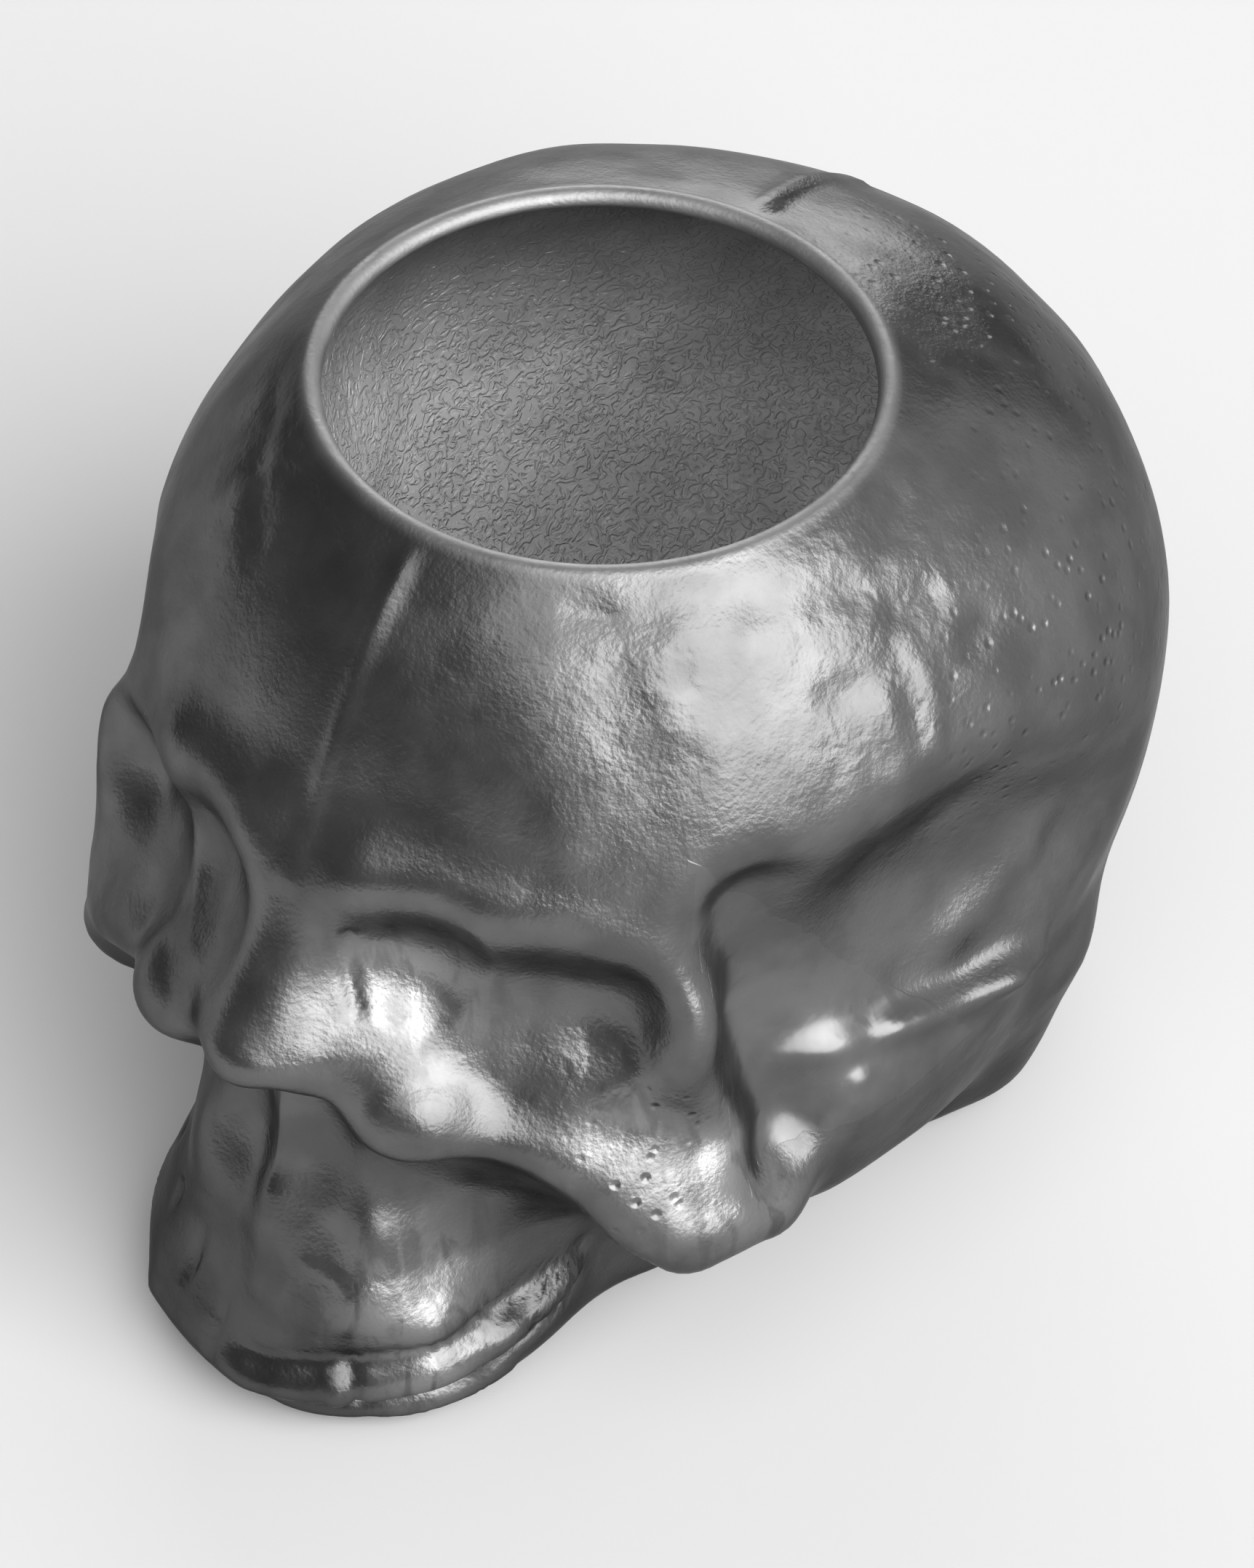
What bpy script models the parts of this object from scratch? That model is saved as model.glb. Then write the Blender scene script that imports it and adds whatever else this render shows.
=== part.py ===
"""A skull candle holder: one hollow ceramic casting, open at the crown.

Metres, +Z up. The face looks along -Y and the skull's own left side is +X.
The origin is on the standing face, under the middle of the candle opening.
Every point is found on a ray from one place inside the skull, where the blended
bone forms end. The hollow is the same form, one wall further in.
"""

import math

import bmesh
import bpy
import numpy as np

# Candle opening, wall and floor
OPENING_RADIUS = 0.0312
RIM_THICKNESS = 0.0028
RIM_HEIGHT = 0.1150
WALL = 0.0042
FLOOR_THICKNESS = 0.0060
BASE_EDGE = 0.0060
FLOOR_EDGE = 0.0160

# Braincase, mirrored left and right like every form below
BRAINCASE_CENTRE = (0.0, 0.0134, 0.0480)
BRAINCASE_RADII = (0.0541, 0.0730, 0.0690)
PARIETAL_CENTRE = (0.0216, 0.0197, 0.0756)
PARIETAL_RADII = (0.0340, 0.0340, 0.0340)
CROWN_CENTRE = (0.0, -0.0085, 0.0636)
CROWN_RADII = (0.0500, 0.0440, 0.0615)

# Temples, hollow behind the eye sockets and shallower toward the back
TEMPLE_LINE = ((0.0445, -0.0312, 0.0785), (0.0450, -0.0308, 0.0620), (0.0480, -0.0285, 0.0450))
TEMPLE_RADII = (0.0052, 0.0062, 0.0045)
TEMPLE_BACK_LINE = ((0.0620, -0.0230, 0.0690), (0.0660, -0.0060, 0.0690), (0.0705, 0.0120, 0.0600))
TEMPLE_BACK_RADII = (0.0185, 0.0190, 0.0180)
TEMPLE_LOW_LINE = ((0.0600, -0.0230, 0.0600), (0.0655, -0.0060, 0.0570))
TEMPLE_LOW_RADII = (0.0160, 0.0160)

# Brows, along the upper margin of the sockets
BROW_LINE = (
    (0.0070, -0.0525, 0.0810), (0.0195, -0.0485, 0.0795), (0.0295, -0.0425, 0.0735),
    (0.0360, -0.0390, 0.0665),
)
BROW_RADII = (0.0045, 0.0042, 0.0040, 0.0036)

# Outer bars of the sockets, cheekbones and their arches
SOCKET_BAR_LINE = ((0.0360, -0.0390, 0.0665), (0.0378, -0.0380, 0.0590), (0.0390, -0.0378, 0.0470))
SOCKET_BAR_RADII = (0.0036, 0.0032, 0.0042)
CHEEK_LINE = (
    (0.0175, -0.0565, 0.0520), (0.0230, -0.0545, 0.0520), (0.0278, -0.0500, 0.0490),
    (0.0325, -0.0445, 0.0420), (0.0385, -0.0382, 0.0330), (0.0440, -0.0290, 0.0310),
)
CHEEK_RADII = (0.0034, 0.0034, 0.0040, 0.0060, 0.0064, 0.0045)
ARCH_TOP_LINE = (
    (0.0350, -0.0260, 0.0440), (0.0405, -0.0130, 0.0435), (0.0455, 0.0020, 0.0400),
    (0.0510, 0.0200, 0.0530),
)
ARCH_TOP_RADII = (0.0040, 0.0040, 0.0045, 0.0035)
ARCH_LOW_LINE = ((0.0365, -0.0290, 0.0375), (0.0405, -0.0120, 0.0350), (0.0430, 0.0, 0.0345))
ARCH_LOW_RADII = (0.0060, 0.0055, 0.0045)

# Eye sockets, deepest under the outer brow, their inner floor sloping out to the ledge below
SOCKET_LINE = ((0.0175, -0.0600, 0.0728), (0.0275, -0.0660, 0.0700), (0.0335, -0.0632, 0.0685))
SOCKET_RADII = (0.0090, 0.0155, 0.0168)
SOCKET_TOP_LINE = ((0.0300, -0.0515, 0.0700), (0.0345, -0.0470, 0.0680))
SOCKET_TOP_RADII = (0.0055, 0.0058)
SOCKET_FLOOR_LINE = ((0.0047, -0.0497, 0.0596), (0.0161, -0.0579, 0.0542))
SOCKET_FLOOR_RADII = (0.0120, 0.0055)

# Nose, with its sides falling away at the same slope
NOSE_LINE = ((0.0, -0.0535, 0.0770), (0.0, -0.0670, 0.0615))
NOSE_RADII = (0.0035, 0.0040)
NOSE_SIDE_LINE = ((0.0055, -0.0500, 0.0735), (0.0055, -0.0630, 0.0580))
NOSE_SIDE_RADII = (0.0040, 0.0040)
NOSE_FLANK_LINE = ((0.0085, -0.0515, 0.0670), (0.0115, -0.0580, 0.0520))
NOSE_FLANK_RADII = (0.0036, 0.0042)
NOSTRIL_CENTRE = (0.0055, -0.0680, 0.0450)
NOSTRIL_RADII = (0.0050, 0.0080, 0.0105)

# Hollows under the ledge and the cheekbone
FOSSA_LINE = ((0.0165, -0.0625, 0.0425), (0.0260, -0.0585, 0.0405), (0.0350, -0.0510, 0.0330))
FOSSA_RADII = (0.0045, 0.0060, 0.0060)
UNDERCUT_LINE = (
    (0.0210, -0.0640, 0.0330), (0.0340, -0.0440, 0.0160), (0.0440, -0.0220, 0.0080),
    (0.0470, 0.0, 0.0080),
)
UNDERCUT_RADII = (0.0100, 0.0125, 0.0120, 0.0090)

# Upper jaw, a little to the skull's right, and the skull base
JAW_SHIFT = (-0.0020, 0.0, 0.0)
JAW_LINE = ((0.0, -0.0448, 0.0095), (0.0, -0.0430, 0.0240), (0.0, -0.0420, 0.0380))
JAW_RADII = (0.0258, 0.0208, 0.0120)
MIDDLE_LINE = ((0.0, -0.0580, 0.0440), (0.0, -0.0615, 0.0200))
MIDDLE_RADII = (0.0045, 0.0045)
CANINE_LINE = ((0.0105, -0.0570, 0.0460), (0.0095, -0.0585, 0.0260))
CANINE_RADII = (0.0035, 0.0030)
PALATE_LINE = ((0.0, -0.0400, 0.0080), (0.0, 0.0100, 0.0120))
PALATE_RADII = (0.0220, 0.0260)
SKULL_BASE_CENTRE = (0.0, 0.0280, 0.0140)
SKULL_BASE_RADII = (0.0430, 0.0420, 0.0300)
MASTOID_LINE = ((0.0440, 0.0250, 0.0300), (0.0380, 0.0260, 0.0060))
MASTOID_RADII = (0.0090, 0.0080)

# How far neighbouring forms run into each other
BRAINCASE_BLEND = 0.0200
BONE_BLEND = 0.0080
HOLLOW_BLEND = 0.0080
ARCH_BLEND = 0.0055

# Grid of the casting
RAY_START = (0.0, 0.0, 0.0600)
COLUMNS = 88
FACE_CROWDING = 0.45
BASE_ROWS = 2
OUTER_ROWS = 40
LIP_ROWS = 4
INNER_ROWS = 14
LIP_START = math.radians(50)
LIP_END = math.radians(190)
LIP_BLEND = math.radians(18)

# Search inward along each ray, from this many of the longest braincase radius
SEARCH_REACH = 1.5
SCAN_STEPS = 60
HALVINGS = 18


def ellipsoid(points, centre, radii):
    """Approximate signed distance to an ellipsoid, below zero inside."""
    scaled = (points - centre) / radii
    length = np.linalg.norm(scaled, axis=1)
    slope = np.linalg.norm(scaled / radii, axis=1)
    return length * (length - 1.0) / np.maximum(slope, 1e-9)


def ridge(points, line, radii):
    """Signed distance to a round ridge along a line, thicker or thinner from point to point."""
    nearest = np.full(len(points), np.inf)
    for start, end, start_radius, end_radius in zip(line, line[1:], radii, radii[1:]):
        along = np.subtract(end, start)
        share = np.clip((points - start) @ along / (along @ along), 0.0, 1.0)
        gap = np.linalg.norm(points - start - share[:, None] * along, axis=1)
        nearest = np.minimum(nearest, gap - start_radius - share * (end_radius - start_radius))
    return nearest


def join(a, b, blend):
    """Union of two forms, with a fillet where they meet."""
    overlap = np.maximum(blend - np.abs(a - b), 0.0) / blend
    return np.minimum(a, b) - overlap**2 * blend / 4.0


def common(a, b, blend):
    """What two forms share, with a rounded edge."""
    return -join(-a, -b, blend)


def mirrored(points):
    """The same points, all on the skull's left side."""
    return np.abs(points) * [1.0, 0.0, 0.0] + points * [0.0, 1.0, 1.0]


def skull_form(points):
    """Signed distance to the skull's outside, before it is cut flat at the base."""
    p = mirrored(points)
    jaw = mirrored(points - JAW_SHIFT)
    form = ellipsoid(p, BRAINCASE_CENTRE, BRAINCASE_RADII)
    form = join(form, ellipsoid(p, PARIETAL_CENTRE, PARIETAL_RADII), BRAINCASE_BLEND)
    form = join(form, ellipsoid(p, CROWN_CENTRE, CROWN_RADII), BRAINCASE_BLEND)
    form = join(form, ellipsoid(p, SKULL_BASE_CENTRE, SKULL_BASE_RADII), BONE_BLEND)
    form = common(form, -ridge(p, TEMPLE_BACK_LINE, TEMPLE_BACK_RADII), HOLLOW_BLEND)
    form = common(form, -ridge(p, TEMPLE_LOW_LINE, TEMPLE_LOW_RADII), HOLLOW_BLEND)
    form = common(form, -ridge(p, UNDERCUT_LINE, UNDERCUT_RADII), HOLLOW_BLEND)
    form = join(form, ridge(jaw, PALATE_LINE, PALATE_RADII), BONE_BLEND)
    form = join(form, ridge(jaw, JAW_LINE, JAW_RADII), BONE_BLEND)
    form = join(form, ridge(p, MIDDLE_LINE, MIDDLE_RADII), BONE_BLEND)
    form = join(form, ridge(p, CANINE_LINE, CANINE_RADII), BONE_BLEND)
    form = join(form, ridge(p, MASTOID_LINE, MASTOID_RADII), BONE_BLEND)
    form = join(form, ridge(p, CHEEK_LINE, CHEEK_RADII), BONE_BLEND)
    form = join(form, ridge(p, ARCH_TOP_LINE, ARCH_TOP_RADII), ARCH_BLEND)
    form = join(form, ridge(p, ARCH_LOW_LINE, ARCH_LOW_RADII), ARCH_BLEND)
    form = common(form, -ridge(p, TEMPLE_LINE, TEMPLE_RADII), HOLLOW_BLEND)
    form = join(form, ridge(p, BROW_LINE, BROW_RADII), BONE_BLEND)
    form = join(form, ridge(p, SOCKET_BAR_LINE, SOCKET_BAR_RADII), BONE_BLEND)
    form = join(form, ridge(p, NOSE_LINE, NOSE_RADII), BONE_BLEND)
    form = join(form, ridge(p, NOSE_SIDE_LINE, NOSE_SIDE_RADII), BONE_BLEND)
    form = join(form, ridge(p, NOSE_FLANK_LINE, NOSE_FLANK_RADII), BONE_BLEND)
    form = common(form, -ridge(p, SOCKET_LINE, SOCKET_RADII), HOLLOW_BLEND)
    form = common(form, -ridge(p, SOCKET_TOP_LINE, SOCKET_TOP_RADII), HOLLOW_BLEND)
    form = join(form, ridge(p, SOCKET_FLOOR_LINE, SOCKET_FLOOR_RADII), ARCH_BLEND)
    form = common(form, -ridge(p, FOSSA_LINE, FOSSA_RADII), HOLLOW_BLEND)
    form = common(form, -ellipsoid(p, NOSTRIL_CENTRE, NOSTRIL_RADII), HOLLOW_BLEND)
    return form


def outside(points):
    """The skull, standing on its flat base."""
    return common(skull_form(points), -points[:, 2], BASE_EDGE)


def hollow(points):
    """The inside, one wall in from the skull and flat at the floor."""
    return common(skull_form(points) + WALL, FLOOR_THICKNESS - points[:, 2], FLOOR_EDGE)


def reach(form, directions):
    """How far the form goes from the start of the rays, along each direction."""
    step = SEARCH_REACH * max(BRAINCASE_RADII) / SCAN_STEPS
    near = np.zeros(len(directions))
    open_rays = np.arange(len(directions))
    for k in range(SCAN_STEPS, 0, -1):
        inside = form(RAY_START + directions[open_rays] * (k * step)) < 0
        near[open_rays[inside]] = k * step
        open_rays = open_rays[~inside]
    far = near + step
    for _ in range(HALVINGS):
        middle = (near + far) / 2
        inside = form(RAY_START + directions * middle[:, None]) < 0
        near = np.where(inside, middle, near)
        far = np.where(inside, far, middle)
    return near


def directions_to(bearing, elevation):
    """Unit vectors with these bearings around the axis and elevations above the level."""
    level = np.cos(elevation)
    return np.stack([level * np.cos(bearing), level * np.sin(bearing), np.sin(elevation)], axis=-1)


def ray_to(across, height):
    """Elevation and length of the ray to a point this far from the axis, at this height."""
    rise = height - RAY_START[2]
    return np.arctan2(rise, across), np.hypot(across, rise)


def flat_reach(form, height, edge, bearing):
    """How far from the axis the flat face at this height goes before its rounded edge."""
    def level(points):
        flat = points * 1.0
        flat[:, 2] = height
        return form(flat) + edge
    return reach(level, directions_to(bearing, np.zeros_like(bearing)))


def lip_point(angle):
    """A point on the lip's round section: its distance from the axis and its height."""
    half = RIM_THICKNESS / 2
    return OPENING_RADIUS + half + half * math.cos(angle), RIM_HEIGHT - half + half * math.sin(angle)


def flat_rings(across, height, bearing):
    """Rings of a flat face, from near its middle out to its edge."""
    for share in np.linspace(0.0, 1.0, BASE_ROWS + 1)[1:]:
        ring = share * across
        yield np.stack([ring * np.cos(bearing), ring * np.sin(bearing), np.full_like(ring, height)], axis=-1)


def wall_rings(form, across, height, lip_angle, count, bearing):
    """Rings of one side of the wall, from above its flat face up to the lip."""
    low, _ = ray_to(across, height)
    top, top_length = ray_to(*lip_point(lip_angle))
    share = np.linspace(0.0, 1.0, count + 1)[1:, None]
    elevation = low + (top - low) * share
    around = np.broadcast_to(bearing, elevation.shape)
    directions = directions_to(around, elevation)
    length = reach(form, directions.reshape(-1, 3)).reshape(elevation.shape)
    near_lip = np.clip(1.0 - (top - elevation) / LIP_BLEND, 0.0, 1.0)
    near_lip = near_lip**2 * (3.0 - 2.0 * near_lip)
    length = length + near_lip * (top_length - length[-1])
    return list(RAY_START + directions * length[:, :, None])


def lip_rings(bearing):
    """Rings over the top of the lip, from its outer side to its inner side."""
    for angle in np.linspace(LIP_START, LIP_END, LIP_ROWS + 2)[1:-1]:
        across, height = lip_point(angle)
        ring = np.full_like(bearing, across)
        yield np.stack([ring * np.cos(bearing), ring * np.sin(bearing), np.full_like(ring, height)], axis=-1)


def casting_rings():
    """All rings of the casting: base, outside, lip, inside and floor."""
    turn = np.arange(COLUMNS) * 2 * np.pi / COLUMNS
    bearing = turn - FACE_CROWDING * np.sin(turn) - np.pi / 2
    base = flat_reach(skull_form, 0.0, BASE_EDGE, bearing)
    floor = flat_reach(skull_form, FLOOR_THICKNESS, WALL + FLOOR_EDGE, bearing)
    rings = list(flat_rings(base, 0.0, bearing))
    rings += wall_rings(outside, base, 0.0, LIP_START, OUTER_ROWS, bearing)
    rings += list(lip_rings(bearing))
    rings += wall_rings(hollow, floor, FLOOR_THICKNESS, LIP_END, INNER_ROWS, bearing)[::-1]
    rings += list(flat_rings(floor, FLOOR_THICKNESS, bearing))[::-1]
    return rings


def casting_mesh(name):
    """One closed mesh: the rings joined in order, with a fan at each end."""
    rings = casting_rings()
    mesh = bpy.data.meshes.new(name)
    bm = bmesh.new()
    rows = [[bm.verts.new(point) for point in ring] for ring in rings]
    ends = [bm.verts.new((0.0, 0.0, 0.0)), bm.verts.new((0.0, 0.0, FLOOR_THICKNESS))]
    for k in range(COLUMNS):
        n = (k + 1) % COLUMNS
        bm.faces.new([ends[0], rows[0][n], rows[0][k]])
        for lower, upper in zip(rows, rows[1:]):
            bm.faces.new([lower[k], lower[n], upper[n], upper[k]])
        bm.faces.new([rows[-1][k], rows[-1][n], ends[1]])
    bmesh.ops.triangulate(bm, faces=bm.faces)
    bm.to_mesh(mesh)
    bm.free()
    mesh.shade_smooth()
    return mesh


def glaze():
    """Silver-grey glaze."""
    material = bpy.data.materials.new("silver_glaze")
    material.use_nodes = True
    shader = material.node_tree.nodes["Principled BSDF"]
    shader.inputs["Base Color"].default_value = (0.30, 0.30, 0.295, 1.0)
    shader.inputs["Metallic"].default_value = 0.9
    shader.inputs["Roughness"].default_value = 0.38
    return material


def build():
    """The skull in an empty scene."""
    for thing in list(bpy.data.objects):
        bpy.data.objects.remove(thing)
    skull = bpy.data.objects.new("skull_shell", casting_mesh("skull_shell"))
    skull.data.materials.append(glaze())
    bpy.context.scene.collection.objects.link(skull)


build()
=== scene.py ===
"""Looks of the skull candle holder: the glazed casting in full detail, on a pale floor.

Metres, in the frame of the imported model: +Z up, the face looks along -Y, and the skull's
own left side is +X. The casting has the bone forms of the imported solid, found on a finer
grid, and the relief of its surface is laid on afterwards. Two forms differ a little from the
solid: the parietal bumps are 0.5 mm fuller, and the outer end of the cheekbone lies up to
3 mm further out and up.
"""

import math

import bpy
import numpy as np
from mathutils import Matrix, Vector, noise


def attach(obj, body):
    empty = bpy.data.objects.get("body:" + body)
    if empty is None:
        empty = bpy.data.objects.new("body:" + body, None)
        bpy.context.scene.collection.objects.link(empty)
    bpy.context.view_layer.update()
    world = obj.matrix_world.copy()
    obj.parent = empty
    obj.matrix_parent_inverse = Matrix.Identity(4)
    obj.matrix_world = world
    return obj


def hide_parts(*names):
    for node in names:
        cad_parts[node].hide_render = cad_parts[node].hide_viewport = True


# Candle opening, wall and floor
OPENING_RADIUS = 0.0312
RIM_THICKNESS = 0.0028
RIM_HEIGHT = 0.1150
WALL = 0.0042
FLOOR_THICKNESS = 0.0060
BASE_EDGE = 0.0060
FLOOR_EDGE = 0.0160

# Braincase, mirrored left and right like every form below
BRAINCASE_CENTRE = (0.0, 0.0134, 0.0480)
BRAINCASE_RADII = (0.0541, 0.0730, 0.0690)
PARIETAL_CENTRE = (0.0216, 0.0197, 0.0756)
PARIETAL_RADII = (0.0345, 0.0345, 0.0345)
CROWN_CENTRE = (0.0, -0.0085, 0.0636)
CROWN_RADII = (0.0500, 0.0440, 0.0615)

# Temples, hollow behind the eye sockets and shallower toward the back
TEMPLE_LINE = ((0.0445, -0.0312, 0.0785), (0.0450, -0.0308, 0.0620), (0.0480, -0.0285, 0.0450))
TEMPLE_RADII = (0.0052, 0.0062, 0.0045)
TEMPLE_BACK_LINE = ((0.0620, -0.0230, 0.0690), (0.0660, -0.0060, 0.0690), (0.0705, 0.0120, 0.0600))
TEMPLE_BACK_RADII = (0.0185, 0.0190, 0.0180)
TEMPLE_LOW_LINE = ((0.0600, -0.0230, 0.0600), (0.0655, -0.0060, 0.0570))
TEMPLE_LOW_RADII = (0.0160, 0.0160)

# Brows, along the upper margin of the sockets
BROW_LINE = (
    (0.0070, -0.0525, 0.0810), (0.0195, -0.0485, 0.0795), (0.0295, -0.0425, 0.0735),
    (0.0360, -0.0390, 0.0665),
)
BROW_RADII = (0.0045, 0.0042, 0.0040, 0.0036)

# Outer bars of the sockets, cheekbones and their arches
SOCKET_BAR_LINE = ((0.0360, -0.0390, 0.0665), (0.0378, -0.0380, 0.0590), (0.0390, -0.0378, 0.0470))
SOCKET_BAR_RADII = (0.0036, 0.0032, 0.0042)
CHEEK_LINE = (
    (0.0175, -0.0565, 0.0520), (0.0230, -0.0545, 0.0520), (0.0278, -0.0500, 0.0490),
    (0.0333, -0.0457, 0.0434), (0.0397, -0.0399, 0.0351), (0.0452, -0.0307, 0.0331),
)
CHEEK_RADII = (0.0034, 0.0034, 0.0040, 0.0060, 0.0064, 0.0045)
ARCH_TOP_LINE = (
    (0.0350, -0.0260, 0.0440), (0.0405, -0.0130, 0.0435), (0.0455, 0.0020, 0.0400),
    (0.0510, 0.0200, 0.0530),
)
ARCH_TOP_RADII = (0.0040, 0.0040, 0.0045, 0.0035)
ARCH_LOW_LINE = ((0.0365, -0.0290, 0.0375), (0.0405, -0.0120, 0.0350), (0.0430, 0.0, 0.0345))
ARCH_LOW_RADII = (0.0060, 0.0055, 0.0045)

# Eye sockets, deepest under the outer brow, their inner floor sloping out to the ledge below
SOCKET_LINE = ((0.0175, -0.0600, 0.0728), (0.0275, -0.0660, 0.0700), (0.0335, -0.0632, 0.0685))
SOCKET_RADII = (0.0090, 0.0155, 0.0168)
SOCKET_TOP_LINE = ((0.0300, -0.0515, 0.0700), (0.0345, -0.0470, 0.0680))
SOCKET_TOP_RADII = (0.0055, 0.0058)
SOCKET_FLOOR_LINE = ((0.0047, -0.0497, 0.0596), (0.0161, -0.0579, 0.0542))
SOCKET_FLOOR_RADII = (0.0120, 0.0055)

# Nose, with its sides falling away at the same slope
NOSE_LINE = ((0.0, -0.0535, 0.0770), (0.0, -0.0670, 0.0615))
NOSE_RADII = (0.0035, 0.0040)
NOSE_SIDE_LINE = ((0.0055, -0.0500, 0.0735), (0.0055, -0.0630, 0.0580))
NOSE_SIDE_RADII = (0.0040, 0.0040)
NOSE_FLANK_LINE = ((0.0085, -0.0515, 0.0670), (0.0115, -0.0580, 0.0520))
NOSE_FLANK_RADII = (0.0036, 0.0042)
NOSTRIL_CENTRE = (0.0055, -0.0680, 0.0450)
NOSTRIL_RADII = (0.0050, 0.0080, 0.0105)

# Hollows under the ledge and the cheekbone
FOSSA_LINE = ((0.0165, -0.0625, 0.0425), (0.0260, -0.0585, 0.0405), (0.0350, -0.0510, 0.0330))
FOSSA_RADII = (0.0045, 0.0060, 0.0060)
UNDERCUT_LINE = (
    (0.0210, -0.0640, 0.0330), (0.0340, -0.0440, 0.0160), (0.0440, -0.0220, 0.0080),
    (0.0470, 0.0, 0.0080),
)
UNDERCUT_RADII = (0.0100, 0.0125, 0.0120, 0.0090)

# Upper jaw, a little to the skull's right, and the skull base
JAW_SHIFT = (-0.0020, 0.0, 0.0)
JAW_LINE = ((0.0, -0.0448, 0.0095), (0.0, -0.0430, 0.0240), (0.0, -0.0420, 0.0380))
JAW_RADII = (0.0258, 0.0208, 0.0120)
MIDDLE_LINE = ((0.0, -0.0580, 0.0440), (0.0, -0.0615, 0.0200))
MIDDLE_RADII = (0.0045, 0.0045)
CANINE_LINE = ((0.0105, -0.0570, 0.0460), (0.0095, -0.0585, 0.0260))
CANINE_RADII = (0.0035, 0.0030)
PALATE_LINE = ((0.0, -0.0400, 0.0080), (0.0, 0.0100, 0.0120))
PALATE_RADII = (0.0220, 0.0260)
SKULL_BASE_CENTRE = (0.0, 0.0280, 0.0140)
SKULL_BASE_RADII = (0.0430, 0.0420, 0.0300)
MASTOID_LINE = ((0.0440, 0.0250, 0.0300), (0.0380, 0.0260, 0.0060))
MASTOID_RADII = (0.0090, 0.0080)

# How far neighbouring forms run into each other
BRAINCASE_BLEND = 0.0200
BONE_BLEND = 0.0080
HOLLOW_BLEND = 0.0080
ARCH_BLEND = 0.0055

# Lines that the relief follows: mould seams, teeth, arch and cheekbone
SEAM = ((0.0, -0.0330, 0.1145), (0.0, -0.0393, 0.1092), (0.0, -0.0498, 0.0949), (0.0, -0.0580, 0.0815))
BACK_SEAM = (
    (-0.0020, 0.0345, 0.1140), (-0.0035, 0.0400, 0.1120), (-0.0045, 0.0465, 0.1092),
    (-0.0040, 0.0580, 0.1020),
)
TOOTH_LINE = (
    (-0.0230, -0.0500, 0.0140), (-0.0150, -0.0640, 0.0130), (0.0018, -0.0703, 0.0120),
    (0.0106, -0.0664, 0.0136), (0.0178, -0.0591, 0.0152), (0.0224, -0.0497, 0.0162),
    (0.0247, -0.0371, 0.0160),
)
TOOTH_BAND = (
    (-0.0240, -0.0500, 0.0095), (-0.0155, -0.0650, 0.0085), (0.0018, -0.0705, 0.0085),
    (0.0120, -0.0662, 0.0100), (0.0190, -0.0588, 0.0115), (0.0230, -0.0505, 0.0125),
    (0.0247, -0.0400, 0.0140),
)
GUM_GROOVE = (
    (-0.0240, -0.0500, 0.0050), (-0.0140, -0.0660, 0.0048), (0.0047, -0.0697, 0.0062),
    (0.0137, -0.0650, 0.0062), (0.0198, -0.0585, 0.0074), (0.0234, -0.0512, 0.0087),
    (0.0248, -0.0452, 0.0098), (0.0247, -0.0390, 0.0122),
)
GUM_EDGE = (
    (0.0047, -0.0697, 0.0030), (0.0137, -0.0650, 0.0032), (0.0198, -0.0585, 0.0040),
    (0.0240, -0.0500, 0.0052),
)
ARCH_RIDGE = (
    (0.0455, -0.0245, 0.0505), (0.0499, -0.0155, 0.0500), (0.0519, -0.0092, 0.0480),
    (0.0544, 0.0006, 0.0455), (0.0558, 0.0113, 0.0450),
)
ARCH_FILL = ((0.0487, 0.0011, 0.0535), (0.0497, 0.0062, 0.0550), (0.0509, 0.0123, 0.0590))
CHEEK_FOOT = ((0.0400, -0.0480, 0.0385), (0.0453, -0.0414, 0.0380), (0.0468, -0.0390, 0.0385))
CHEEK_TOP = ((0.0400, -0.0442, 0.0550), (0.0440, -0.0400, 0.0510))

# Shallow dents around the opening, all as wide and as deep
DENTS = (
    ((-0.0096, -0.0372, 0.1101), (-0.0145, -0.0336, 0.1119)),
    ((-0.0201, -0.0366, 0.1064), (-0.0247, -0.0306, 0.1090)),
    ((-0.0270, -0.0240, 0.1110), (-0.0290, -0.0190, 0.1120)),
    ((0.0374, 0.0050, 0.1115), (0.0390, 0.0010, 0.1110)),
    ((0.0441, 0.0002, 0.1046), (0.0430, -0.0040, 0.1060)),
    ((0.0377, -0.0107, 0.1093), (0.0400, -0.0070, 0.1085)),
    ((0.0300, -0.0190, 0.1105), (0.0330, -0.0170, 0.1098)),
    ((0.0430, -0.0160, 0.1010), (0.0450, -0.0120, 0.1010)),
    ((0.0190, -0.0300, 0.1125), (0.0220, -0.0290, 0.1115)),
    ((0.0480, 0.0060, 0.0990), (0.0490, 0.0020, 0.0985)),
)
DENT_WIDTH = 0.0023
DENT_DEPTH = 0.0004

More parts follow.
